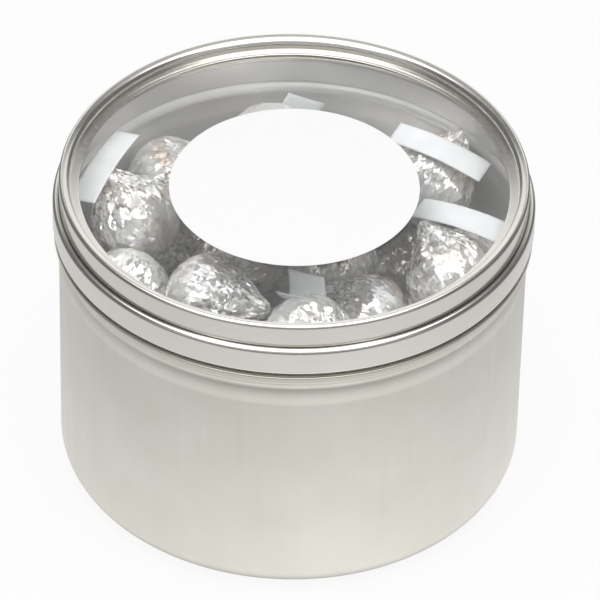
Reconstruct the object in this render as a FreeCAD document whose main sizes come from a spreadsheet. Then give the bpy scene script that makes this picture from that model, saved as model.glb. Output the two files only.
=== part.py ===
import FreeCAD, Part
import itertools
import math
import operator
import os
import random
from collections import namedtuple
from types import SimpleNamespace

import Sketcher

# A round seamless tin with a lift-off window lid, filled with foil-wrapped drops that carry paper tags.
# Millimetres, +Z up. The origin is the centre of the foot ring, on the surface that the tin stands on.

DRIVING_SIZES = (
    ("gauge", 0.3, "tinplate sheet of the body, the lid ring and the retainer"),
    ("body_radius", 51.2, "outside of the body wall and of its neck"),
    ("body_height", 69.0, "top of the curled mouth"),
    ("corner_radius", 6.0, "outside of the drawn base corner"),
    ("foot_width", 3.6, "flat of the foot ring"),
    ("panel_lift", 0.8, "base panel above the foot ring"),
    ("panel_run", 2.2, "width of the step between foot ring and base panel"),
    ("bead_out", 1.1, "stop bead beyond the body wall"),
    ("flare_rise", 6.2, "height of the cove below the bead's crest"),
    ("stop_gap", 2.0, "bead's crest below the lid's hem"),
    ("curl_radius", 0.6, "outside of the curled mouth"),
    ("curl_leg", 0.5, "straight end of the curled mouth"),
    ("lid_clearance", 0.3, "hem of the lid round the neck"),
    ("seat_clearance", 0.25, "lid shoulder over the curled mouth"),
    ("hem_radius", 0.5, "outside of the lid's rolled hem"),
    ("hem_leg", 0.8, "straight end of the lid's rolled hem"),
    ("skirt_height", 6.35, "hem to shoulder on the lid"),
    ("shoulder_width", 1.4, "skirt to collar on the lid"),
    ("shoulder_bend", 0.8, "outside bend from skirt to shoulder"),
    ("collar_bend", 0.4, "outside bend from shoulder to collar"),
    ("collar_height", 5.85, "shoulder to rim on the lid"),
    ("rim_width", 2.5, "rim of the lid, from collar to inner wall"),
    ("rim_bend", 1.0, "outside bends of the rim"),
    ("ledge_drop", 3.0, "rim to window ledge"),
    ("ledge_width", 1.7, "window ledge inside the rim"),
    ("ledge_bend", 0.5, "inside bend from inner wall to ledge"),
    ("window_thickness", 0.4, "clear plastic window"),
    ("window_clearance", 0.25, "window inside the retainer's flange"),
    ("retainer_clearance", 0.25, "retainer inside the collar"),
    ("retainer_height", 2.0, "upright flange of the retainer"),
    ("retainer_setback", 0.4, "retainer behind the edge of the ledge"),
    ("label_radius", 27.25, "round paper label on the window"),
    ("label_thickness", 0.15, "label paper"),
    ("drop_radius", 10.4, "rounded base of a wrapped drop"),
    ("drop_tip_radius", 2.6, "gathered tip of a wrapped drop"),
    ("drop_rise", 11.2, "base centre to tip centre of a wrapped drop"),
    ("drop_clearance", 0.3, "air left round a settled drop"),
    ("headspace", 4.3, "free height under the lid"),
    ("tag_room", 1.5, "height kept for the tags on the topmost drops"),
    ("tag_length", 23.0, "long paper tag"),
    ("stub_length", 9.0, "short paper tag"),
    ("tag_width", 6.4, "both paper tags"),
    ("tag_bow", 1.2, "rise at the middle of a long tag"),
    ("stub_bow", 0.3, "rise at the middle of a short tag"),
    ("tag_thickness", 0.15, "tag paper"),
    ("tag_clearance", 0.35, "air left under a tag"),
)

doc = FreeCAD.newDocument("WindowLidTin")
sheet = doc.addObject("Spreadsheet::Sheet", "Sizes")
for row, (alias, value, meaning) in enumerate(DRIVING_SIZES, start=1):
    sheet.set(f"A{row}", meaning)
    sheet.set(f"B{row}", str(value))
    sheet.setAlias(f"B{row}", alias)
doc.recompute()


class Size:
    """A length together with the sheet formula that gives it."""

    def __init__(self, value, formula):
        self.value = value
        self.formula = formula

    def joined(self, other, sign, work):
        """Join this length with another one, or with a plain number."""
        if not isinstance(other, Size):
            other = Size(other, str(other))
        return Size(work(self.value, other.value), f"({self.formula} {sign} {other.formula})")

    def __add__(self, other):
        return self.joined(other, "+", operator.add)

    def __sub__(self, other):
        return self.joined(other, "-", operator.sub)

    def __mul__(self, other):
        return self.joined(other, "*", operator.mul)

    def __truediv__(self, other):
        return self.joined(other, "/", operator.truediv)

    def root(self):
        """Square root, for a length worked out from squares."""
        return Size(math.sqrt(self.value), f"sqrt({self.formula})")


dim = SimpleNamespace(**{
    alias: Size(float(sheet.get(alias)), f"Sizes.{alias}")
    for alias, _, _ in DRIVING_SIZES
})

# Levels and radii where pieces meet
shoulder_under = dim.body_height + dim.seat_clearance
shoulder_top = shoulder_under + dim.gauge
hem_bottom = shoulder_top - dim.skirt_height
bead_crest = hem_bottom - dim.stop_gap
flare_start = bead_crest - dim.flare_rise
mouth_radius = dim.body_radius - dim.curl_radius * 2
lid_radius = dim.body_radius + dim.lid_clearance + dim.hem_radius * 2
collar_radius = lid_radius - dim.shoulder_width
rim_top = shoulder_top + dim.collar_height
rim_inner = collar_radius - dim.rim_width
ledge_top = rim_top - dim.ledge_drop
ledge_under = ledge_top - dim.gauge
ledge_inner = rim_inner - dim.ledge_width
window_under = ledge_under - dim.window_thickness
retainer_under = window_under - dim.gauge
retainer_radius = collar_radius - dim.gauge - dim.retainer_clearance
window_radius = retainer_radius - dim.gauge - dim.window_clearance
fill_line = retainer_under - dim.headspace
drop_line = fill_line - dim.tag_room


# Closed outlines, bound to the sheet vertex by vertex

Vertex = namedtuple("Vertex", "across up bend turn")
LEFT, AHEAD, RIGHT = 1, 0, -1


def line(across, up):
    """Vertex from which the outline runs straight on; a plain 0 puts it on the axis."""
    return Vertex(across, up, None, AHEAD)


def left(across, up, bend):
    """Vertex from which the outline bends to the left."""
    return Vertex(across, up, bend, LEFT)


def right(across, up, bend):
    """Vertex from which the outline bends to the right."""
    return Vertex(across, up, bend, RIGHT)


def place(vertex):
    """Drawing position of a vertex."""
    return FreeCAD.Vector(*(getattr(length, "value", length) for length in vertex[:2]), 0)


def bend_arc(start, end, radius, turn):
    """Arc from start to end, of less than a half circle, that bends to the given side."""
    chord = end - start
    depth = math.sqrt(max(radius**2 - chord.Length**2 / 4, 0.0))
    aside = FreeCAD.Vector(-chord.y, chord.x, 0).normalize()
    centre = start + chord * 0.5 + aside * (depth * turn)
    spokes = [start - centre, end - centre]
    if turn == RIGHT:
        spokes.reverse()
    first, last = (math.atan2(spoke.y, spoke.x) for spoke in spokes)
    if last < first:
        last += math.tau
    return Part.ArcOfCircle(Part.Circle(centre, FreeCAD.Vector(0, 0, 1), radius), first, last)


def draw_outline(sketch, outline):
    """Draw a closed outline and bind each vertex and each bend to the sheet."""
    count = len(outline)
    edges = []
    for number, vertex in enumerate(outline):
        start = place(vertex)
        end = place(outline[(number + 1) % count])
        if vertex.turn == AHEAD:
            edges.append(Part.LineSegment(start, end))
        else:
            edges.append(bend_arc(start, end, vertex.bend.value, vertex.turn))
    sketch.addGeometry(edges, False)

    constraints = []
    formulas = {}
    for number, vertex in enumerate(outline):
        before = outline[number - 1]
        own_end = 2 if vertex.turn == RIGHT else 1
        last_end = 1 if before.turn == RIGHT else 2
        constraints.append(Sketcher.Constraint("Coincident", (number - 1) % count, last_end, number, own_end))
        for kind, length, axis in (("DistanceX", vertex.across, -2), ("DistanceY", vertex.up, -1)):
            if isinstance(length, Size):
                formulas[len(constraints)] = length.formula
                constraints.append(Sketcher.Constraint(kind, -1, 1, number, own_end, length.value))
            else:
                constraints.append(Sketcher.Constraint("PointOnObject", number, own_end, axis))
        if vertex.turn != AHEAD:
            formulas[len(constraints)] = vertex.bend.formula
            constraints.append(Sketcher.Constraint("Radius", number, vertex.bend.value))
    sketch.addConstraint(constraints)
    for index, formula in formulas.items():
        sketch.setExpression(f"Constraints[{index}]", formula)


def turned_body(label, outline):
    """Body made by turning one outline round the upright axis."""
    body = doc.addObject("PartDesign::Body", label)
    upright = next(plane for plane in body.Origin.OriginFeatures if plane.Role == "XZ_Plane")
    sketch = body.newObject("Sketcher::SketchObject", f"{label}_outline")
    sketch.AttachmentSupport = [(upright, "")]
    sketch.MapMode = "FlatFace"
    draw_outline(sketch, outline)
    turned = body.newObject("PartDesign::Revolution", f"{label}_turned")
    turned.Profile = sketch
    turned.ReferenceAxis = (sketch, ["V_Axis"])
    turned.Angle = 360
    return body


def upright_sketch(label, outline):
    """Outline on its own, standing in the XZ plane, for the pieces that repeat."""
    sketch = doc.addObject("Sketcher::SketchObject", label)
    sketch.Placement = FreeCAD.Placement(FreeCAD.Vector(), FreeCAD.Rotation(FreeCAD.Vector(1, 0, 0), 90))
    draw_outline(sketch, outline)
    return sketch


def disc(label, radius, thickness, under):
    """Flat round piece on the upright axis."""
    piece = doc.addObject("Part::Cylinder", label)
    piece.setExpression("Radius", radius.formula)
    piece.setExpression("Height", thickness.formula)
    piece.setExpression("Placement.Base.z", under.formula)
    return piece


# Tin body: drawn in one piece, with a stop bead under the lid and a mouth curled inwards

S_bend = namedtuple("S_bend", "radius outer inner")


def s_bend(across, up, out, rise, side):
    """Two equal arcs that carry an upright wall out by out while it rises by rise.

    side is 1 where the wall goes outwards and -1 where it comes back. Both faces keep the sheet's gauge: the
    arcs' middle lies on the slope, where the inner face is a gauge away square to it.
    """
    radius = (out * out + rise * rise) / (out * 4)
    level = (radius * 2 - out) / (radius * 2) * dim.gauge
    slope = rise / (radius * 2) * dim.gauge * side
    outer = (across + out / 2, up + rise / 2)
    inner = (outer[0] - level, outer[1] + slope)
    return S_bend(radius, outer, inner)


flare = s_bend(dim.body_radius, flare_start, dim.bead_out, dim.flare_rise, 1)
come_back = s_bend(dim.body_radius, bead_crest, dim.bead_out, dim.stop_gap, -1)
body_inner = dim.body_radius - dim.gauge
bead_radius = dim.body_radius + dim.bead_out
foot_outer = dim.body_radius - dim.corner_radius
foot_inner = foot_outer - dim.foot_width
panel_radius = foot_inner - dim.panel_run
panel_top = dim.panel_lift + dim.gauge
step_bend = (dim.panel_run * dim.panel_run + dim.panel_lift * dim.panel_lift) / (dim.panel_lift * 4)
step_middle = panel_radius + dim.panel_run / 2
curl_level = dim.body_height - dim.curl_radius
curl_middle = dim.body_radius - dim.curl_radius
curl_inside = dim.curl_radius - dim.gauge
curl_end = curl_level - dim.curl_leg

tin_body = turned_body("tin_body", [
    line(0, dim.panel_lift),
    right(panel_radius, dim.panel_lift, step_bend),
    left(step_middle, dim.panel_lift / 2, step_bend),
    line(foot_inner, 0),
    left(foot_outer, 0, dim.corner_radius),
    line(dim.body_radius, dim.corner_radius),
    right(dim.body_radius, flare_start, flare.radius),
    left(*flare.outer, flare.radius),
    left(bead_radius, bead_crest, come_back.radius),
    right(*come_back.outer, come_back.radius),
    line(dim.body_radius, hem_bottom),
    left(dim.body_radius, curl_level, dim.curl_radius),
    left(curl_middle, dim.body_height, dim.curl_radius),
    line(mouth_radius, curl_level),
    line(mouth_radius, curl_end),
    line(mouth_radius + dim.gauge, curl_end),
    right(mouth_radius + dim.gauge, curl_level, curl_inside),
    right(curl_middle, dim.body_height - dim.gauge, curl_inside),
    line(body_inner, curl_level),
    left(body_inner, hem_bottom, come_back.radius + dim.gauge),
    right(*come_back.inner, come_back.radius - dim.gauge),
    right(bead_radius - dim.gauge, bead_crest, flare.radius - dim.gauge),
    left(*flare.inner, flare.radius + dim.gauge),
    line(body_inner, flare_start),
    right(body_inner, dim.corner_radius, dim.corner_radius - dim.gauge),
    line(foot_outer, dim.gauge),
    right(foot_inner, dim.gauge, step_bend),
    left(step_middle, dim.panel_lift / 2 + dim.gauge, step_bend),
    line(panel_radius, panel_top),
    line(0, panel_top),
])

# Lid ring: hemmed skirt, shoulder, collar, rolled rim and the ledge that the window lies against

skirt_inner = lid_radius - dim.gauge
hem_middle = lid_radius - dim.hem_radius
hem_level = hem_bottom + dim.hem_radius
hem_inner = lid_radius - dim.hem_radius * 2
hem_end = hem_level + dim.hem_leg
hem_inside = dim.hem_radius - dim.gauge
skirt_top = shoulder_top - dim.shoulder_bend
shoulder_outer = lid_radius - dim.shoulder_bend
shoulder_inner = collar_radius + dim.collar_bend
collar_foot = shoulder_top + dim.collar_bend
collar_inner = collar_radius - dim.gauge
rim_level = rim_top - dim.rim_bend
rim_under = rim_top - dim.gauge
wall_outer = rim_inner + dim.gauge
ledge_level = ledge_top + dim.ledge_bend
ledge_outer = rim_inner - dim.ledge_bend

lid_ring = turned_body("lid_ring", [
    line(ledge_inner, ledge_under),
    left(ledge_outer, ledge_under, dim.ledge_bend + dim.gauge),
    line(wall_outer, ledge_level),
    right(wall_outer, rim_level, dim.rim_bend - dim.gauge),
    line(rim_inner + dim.rim_bend, rim_under),
    right(collar_radius - dim.rim_bend, rim_under, dim.rim_bend - dim.gauge),
    line(collar_inner, rim_level),
    left(collar_inner, collar_foot, dim.collar_bend + dim.gauge),
    line(shoulder_inner, shoulder_under),
    right(shoulder_outer, shoulder_under, dim.shoulder_bend - dim.gauge),
    line(skirt_inner, skirt_top),
    right(skirt_inner, hem_level, hem_inside),
    right(hem_middle, hem_bottom + dim.gauge, hem_inside),
    line(hem_inner + dim.gauge, hem_level),
    line(hem_inner + dim.gauge, hem_end),
    line(hem_inner, hem_end),
    left(hem_inner, hem_level, dim.hem_radius),
    left(hem_middle, hem_bottom, dim.hem_radius),
    line(lid_radius, hem_level),
    left(lid_radius, skirt_top, dim.shoulder_bend),
    line(shoulder_outer, shoulder_top),
    right(shoulder_inner, shoulder_top, dim.collar_bend),
    line(collar_radius, collar_foot),
    left(collar_radius, rim_level, dim.rim_bend),
    line(collar_radius - dim.rim_bend, rim_top),
    left(rim_inner + dim.rim_bend, rim_top, dim.rim_bend),
    line(rim_inner, rim_level),
    right(rim_inner, ledge_level, dim.ledge_bend),
    line(ledge_outer, ledge_top),
    line(ledge_inner, ledge_top),
])

# Window, the ring that holds it up against the ledge, and the label on it

window = disc("window", window_radius, dim.window_thickness, window_under)
label = disc("label", dim.label_radius, dim.label_thickness, ledge_under)
retainer_inner = ledge_inner + dim.retainer_setback
flange_inner = retainer_radius - dim.gauge
flange_top = retainer_under + dim.retainer_height
window_retainer = turned_body("window_retainer", [
    line(retainer_inner, retainer_under),
    line(retainer_radius, retainer_under),
    line(retainer_radius, flange_top),
    line(flange_inner, flange_top),
    line(flange_inner, window_under),
    line(retainer_inner, window_under),
])

# Wrapped drops: the rounded base and the gathered tip are balls, with the cone that touches both between them

base_level = dim.drop_radius
tip_level = dim.drop_radius + dim.drop_rise
cone_sine = (dim.drop_radius - dim.drop_tip_radius) / dim.drop_rise
cone_cosine = (cone_sine * cone_sine * -1 + 1).root()
drop_outline = upright_sketch("drop_outline", [
    left(0, 0, dim.drop_radius),
    line(dim.drop_radius * cone_cosine, base_level + dim.drop_radius * cone_sine),
    left(dim.drop_tip_radius * cone_cosine, tip_level + dim.drop_tip_radius * cone_sine, dim.drop_tip_radius),
    line(0, tip_level + dim.drop_tip_radius),
])

Ball = namedtuple("Ball", "x y z radius")
Way = namedtuple("Way", "x y heading tilt")
Rest = namedtuple("Rest", "top way axis balls")
CHAIN_COUNT = 5
CHAIN = [
    (dim.drop_rise.value * share, dim.drop_radius.value * (1 - share) + dim.drop_tip_radius.value * share)
    for share in (number / (CHAIN_COUNT - 1) for number in range(CHAIN_COUNT))
]


def direction(heading, tilt):
    """Unit vector that points to a compass heading, counted from +X, and up by tilt, both in degrees."""
    flat = math.cos(math.radians(tilt))
    turn = math.radians(heading)
    return FreeCAD.Vector(flat * math.cos(turn), flat * math.sin(turn), math.sin(math.radians(tilt)))


def spot(bearing, distance):
    """Point on the floor plan, from its bearing in degrees and its distance from the axis."""
    return distance * math.cos(math.radians(bearing)), distance * math.sin(math.radians(bearing))


def floor_height(x, y, radius):
    """Lowest height of a ball's centre above the base panel and the rounded base corner."""
    height = panel_top.value + radius
    over = math.hypot(x, y) - foot_outer.value
    room = dim.corner_radius.value - dim.gauge.value - radius
    if over > 0 and room > 0:
        height = max(height, dim.corner_radius.value - math.sqrt(max(room**2 - over**2, 0.0)))
    return height + dim.drop_clearance.value


def rest(way, pile):
    """Where a drop lies once it is lowered in a given way, or None where it would not pass the mouth."""
    axis = direction(way.heading, way.tilt)
    height = 0.0
    for reach, radius in CHAIN:
        x = way.x + axis.x * reach
        y = way.y + axis.y * reach
        lift = axis.z * reach
        if math.hypot(x, y) + radius + dim.drop_clearance.value > mouth_radius.value:
            return None
        height = max(height, floor_height(x, y, radius) - lift)
        for other in pile:
            apart = radius + other.radius + dim.drop_clearance.value
            square = apart**2 - (x - other.x) ** 2 - (y - other.y) ** 2
            if square > 0:
                height = max(height, other.z + math.sqrt(square) - lift)
    balls = [
        Ball(way.x + axis.x * reach, way.y + axis.y * reach, height + axis.z * reach, radius)
        for reach, radius in CHAIN
    ]
    return Rest(max(ball.z + ball.radius for ball in balls), way, axis, balls)


def nearest_rest(ways, pile, wanted):
    """The rest whose top comes nearest a wanted height, or None where no way fits under the drop line."""
    rests = [rest(way, pile) for way in ways]
    fitting = [found for found in rests if found is not None and found.top <= drop_line.value]
    return min(fitting, key=lambda found: abs(found.top - wanted), default=None)


def nudged(draw, way, share):
    """A way close to another one, within a share of the full nudge."""
    drift = dim.drop_radius.value * NUDGE_SHARE * share
    turn = NUDGE_ANGLE * share
    x = way.x + draw.uniform(-drift, drift)
    y = way.y + draw.uniform(-drift, drift)
    return Way(x, y, way.heading + draw.uniform(-turn, turn), way.tilt + draw.uniform(-turn, turn))


def poured(draw, pile):
    """A drop that lands low and rolls on by ever smaller steps, or None where none fits."""
    ways = []
    for _ in range(TRIES):
        x, y = spot(draw.uniform(0, 360), mouth_radius.value * math.sqrt(draw.random()))
        ways.append(Way(x, y, draw.uniform(0, 360), draw.uniform(*POURED_TILT)))
    found = nearest_rest(ways, pile, panel_top.value)
    if found is not None:
        for step in range(TRIES, 0, -1):
            rolled = rest(nudged(draw, found.way, step / TRIES), pile)
            if rolled is not None and rolled.top < found.top:
                found = rolled
    return found


def laid(draw, pile, bearing, inset, heading, tilt, depth):
    """A drop set down close to a chosen place, or None where none fits."""
    distance = mouth_radius.value - dim.drop_radius.value * (1 + inset) - dim.drop_clearance.value
    chosen = Way(*spot(bearing, distance), heading, tilt)
    ways = [nudged(draw, chosen, step / TRIES) for step in range(TRIES + 1)]
    return nearest_rest(ways, pile, drop_line.value - dim.drop_radius.value * depth)


def filled_tin(seed):
    """Rests of the drops that fill the tin: poured up to a line, laid where they show, then topped up."""
    draw = random.Random(seed)
    pile = []
    rests = []

    def add(found):
        rests.append(found)
        pile.extend(found.balls)

    found = poured(draw, pile)
    while found is not None and found.top <= drop_line.value - dim.drop_radius.value * POURED_DEPTH_SHARE:
        add(found)
        found = poured(draw, pile)
    for chosen in TOP_LAYER:
        found = laid(draw, pile, *chosen)
        if found is not None:
            add(found)
    found = poured(draw, pile)
    while found is not None:
        add(found)
        found = poured(draw, pile)
    return rests


TRIES = 60
NUDGE_SHARE = 0.25
NUDGE_ANGLE = 20
POURED_TILT = (-60, 80)
POURED_DEPTH_SHARE = 2.2
SEED = 52

# The drops that show through the window, from the lowest up: bearing of the base, its inset from the mouth in
# drop radii, heading and tilt of the tip, and depth of the top under the drop line in drop radii
TOP_LAYER = (
    (-42, 1.6, 150, -5, 0.6),
    (13, 0.0, 80, 0, 1.6),
    (64, 0.05, 150, 0, 1.1),
    (194, 0.0, 250, 0, 0.4),
    (-84, 1.0, -60, 10, 0.2),
    (100, 0.05, 0, 0, 0.15),
    (131, 0.0, 12, 10, 0.0),
    (163, 0.1, 134, 35, 0.0),
    (-132, 1.2, -12, 5, 0.0),
    (37, 0.0, 40, 50, 0.0),
    (-14, 0.4, 125, 35, 0.0),
)

rests = filled_tin(SEED)
pile = [ball for found in rests for ball in found.balls]
drops = []
for number, found in enumerate(rests, start=1):
    drop = doc.addObject("Part::Revolution", f"wrapped_drop_{number:02d}")
    drop.Source = drop_outline
    drop.Axis = FreeCAD.Vector(0, 0, 1)
    drop.Angle = 360
    drop.Solid = True
    base = found.balls[0]
    foot = FreeCAD.Vector(base.x, base.y, base.z) - found.axis * base.radius
    drop.Placement = FreeCAD.Placement(foot, FreeCAD.Rotation(FreeCAD.Vector(0, 0, 1), found.axis))
    drops.append(drop)

# Paper tags: bowed strips that lie on the drops


def tag_outline(name, length, bow):
    """Side view of a bowed strip, from one end to the other."""
    radius = (length * length / 4 + bow * bow) / (bow * 2)
    return upright_sketch(name, [
        right(0, 0, radius),
        line(length, 0),
        left(length, dim.tag_thickness, radius),
        line(0, dim.tag_thickness),
    ])


def pile_height(pile, x, y):
    """Height of the drops' upper side over a spot, or of the floor between them."""
    height = panel_top.value
    for ball in pile:
        square = ball.radius**2 - (ball.x - x) ** 2 - (ball.y - y) ** 2
        if square > 0:
            height = max(height, ball.z + math.sqrt(square))
    return height


def tag_middle(kind, bearing, inset, heading):
    """Plan of a tag's middle; the inset, in tag widths, lies between its outermost corner and the mouth."""
    limit = mouth_radius.value - dim.tag_clearance.value - dim.tag_width.value * inset
    outward = direction(bearing, 0)
    half = direction(heading, 0) * (kind.length.value / 2)
    aside = direction(heading + 90, 0) * (dim.tag_width.value / 2)
    distances = []
    for corner in (half + aside, half - aside, aside - half, half * -1 - aside):
        along = outward.dot(corner)
        distances.append(math.sqrt(limit**2 - corner.dot(corner) + along**2) - along)
    return outward * min(distances)


def tag_place(pile, kind, bearing, inset, heading, tilt, roll):
    """Placement of a strip lowered onto the drops, or None if it would pass the fill line."""
    middle = tag_middle(kind, bearing, inset, heading)
    turn = FreeCAD.Rotation(heading, tilt, roll)
    steps = [share / TAG_STEPS for share in range(TAG_STEPS + 1)]
    height = 0.0
    highest = 0.0
    for along, aside in itertools.product(steps, steps):
        rise = kind.bow.value * along * (1 - along) * 4
        length = kind.length.value * (along - 0.5)
        point = turn.multVec(FreeCAD.Vector(length, dim.tag_width.value * (aside - 0.5), rise))
        height = max(height, pile_height(pile, middle.x + point.x, middle.y + point.y) - point.z)
        highest = max(highest, point.z)
    middle.z = height + dim.tag_clearance.value
    if middle.z + highest + dim.tag_thickness.value > fill_line.value:
        return None
    return FreeCAD.Placement(middle + turn.multVec(FreeCAD.Vector(kind.length.value / -2, 0, 0)), turn)


TAG_STEPS = 8
TagKind = namedtuple("TagKind", "outline length bow")
LONG = TagKind(tag_outline("tag_outline", dim.tag_length, dim.tag_bow), dim.tag_length, dim.tag_bow)
SHORT = TagKind(tag_outline("stub_outline", dim.stub_length, dim.stub_bow), dim.stub_length, dim.stub_bow)

# Each tag: its kind, bearing of its middle, inset of its outermost corner in tag widths, heading, tilt and roll
TAGS = (
    (LONG, 161, 0.0, 66, -8, -8),
    (LONG, 35, 0.25, -26, 8, 8),
    (LONG, -1, 0.3, -33, -8, 8),
    (SHORT, 86, 0.5, 7, 24, 8),
    (SHORT, 10, 0.0, 75, -24, 16),
    (SHORT, -86, 3.2, -28, -8, 16),
    (SHORT, -83, 1.2, -9, 8, 40),
)
tags = []
for number, (kind, *where) in enumerate(TAGS, start=1):
    placement = tag_place(pile, kind, *where)
    if placement is not None:
        tag = doc.addObject("Part::Extrusion", f"paper_tag_{number:02d}")
        tag.Base = kind.outline
        tag.DirMode = "Custom"
        tag.Dir = FreeCAD.Vector(0, 1, 0)
        tag.Symmetric = True
        tag.Solid = True
        tag.setExpression("LengthFwd", dim.tag_width.formula)
        tag.Placement = placement
        tags.append(tag)

# Test every object, then write one file for each piece

doc.recompute()
for item in doc.Objects:
    if "Invalid" in item.State or "Error" in item.State:
        raise RuntimeError(f"{item.Label} did not recompute: {item.State}")
pieces = [tin_body, lid_ring, window, window_retainer, label, *drops, *tags]
for piece in pieces:
    if piece.Shape.isNull() or not piece.Shape.isValid() or len(piece.Shape.Solids) != 1:
        raise RuntimeError(f"{piece.Label} is not one valid solid")
os.makedirs("parts", exist_ok=True)
for piece in pieces:
    piece.Shape.exportStep(f"parts/{piece.Label}.step")
print(f"{len(pieces)} pieces, {len(drops)} of them drops and {len(tags)} tags")
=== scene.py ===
"""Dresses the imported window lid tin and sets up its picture.

Lengths in the classes are millimetres. A mesh is put into the scene in metres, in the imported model's frame.
"""
import logging
import math
from dataclasses import dataclass
from enum import Enum
from typing import Mapping, NamedTuple, Sequence, Union

import bpy
import numpy as np
from mathutils import Matrix, Vector


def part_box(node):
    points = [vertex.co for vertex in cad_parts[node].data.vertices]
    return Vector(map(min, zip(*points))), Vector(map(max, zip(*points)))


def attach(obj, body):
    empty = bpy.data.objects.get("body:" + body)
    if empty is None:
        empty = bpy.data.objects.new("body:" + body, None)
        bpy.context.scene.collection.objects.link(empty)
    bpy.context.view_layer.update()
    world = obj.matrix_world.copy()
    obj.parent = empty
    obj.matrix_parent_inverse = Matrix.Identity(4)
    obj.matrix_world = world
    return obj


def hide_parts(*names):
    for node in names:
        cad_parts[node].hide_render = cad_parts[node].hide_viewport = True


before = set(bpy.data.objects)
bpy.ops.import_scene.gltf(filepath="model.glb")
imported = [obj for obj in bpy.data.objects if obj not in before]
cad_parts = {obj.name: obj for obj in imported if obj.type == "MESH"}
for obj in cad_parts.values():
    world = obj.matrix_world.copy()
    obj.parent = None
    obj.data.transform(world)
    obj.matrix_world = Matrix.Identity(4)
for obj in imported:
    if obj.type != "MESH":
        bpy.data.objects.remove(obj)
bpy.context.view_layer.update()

MM = 0.001
CRINKLE = "crinkle"
FOIL_SPOT = "foil_spot"
# The attribute that holds how much painted crease shade a point takes.
CREASE = "crease"
NOISE_RANGE = (0.3, 0.7)
TONE_PLACES = (0.35, 0.65)
# Where a Mix node has its sockets.
MIX_FACTOR = 0
MIX_NUMBERS = (2, 3)
MIX_COLOURS = (6, 7)
MIXED_NUMBER = 0
MIXED_COLOUR = 2
Array = np.ndarray
Colour = tuple[float, float, float]
Stops = tuple[tuple[float, Colour], ...]
Socket = bpy.types.NodeSocket
Value = Union[float, Sequence[float], Socket]
log = logging.getLogger("window_lid_tin")


class Body(Enum):
    """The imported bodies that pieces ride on."""

    TIN = "tin"
    LID = "lid"


class Slot(Enum):
    """The record's material slots; no piece here is given one."""

    TINPLATE = "tinplate"
    LABEL = "label_paper"
    TAG = "tag_paper"
    FOIL = "foil"


class Detail(Enum):
    """How many of a drop's grid lines are kept: every one, or every second one for a drop deep in the tin."""

    FULL = 1
    HALF = 2


# Finishes


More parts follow.
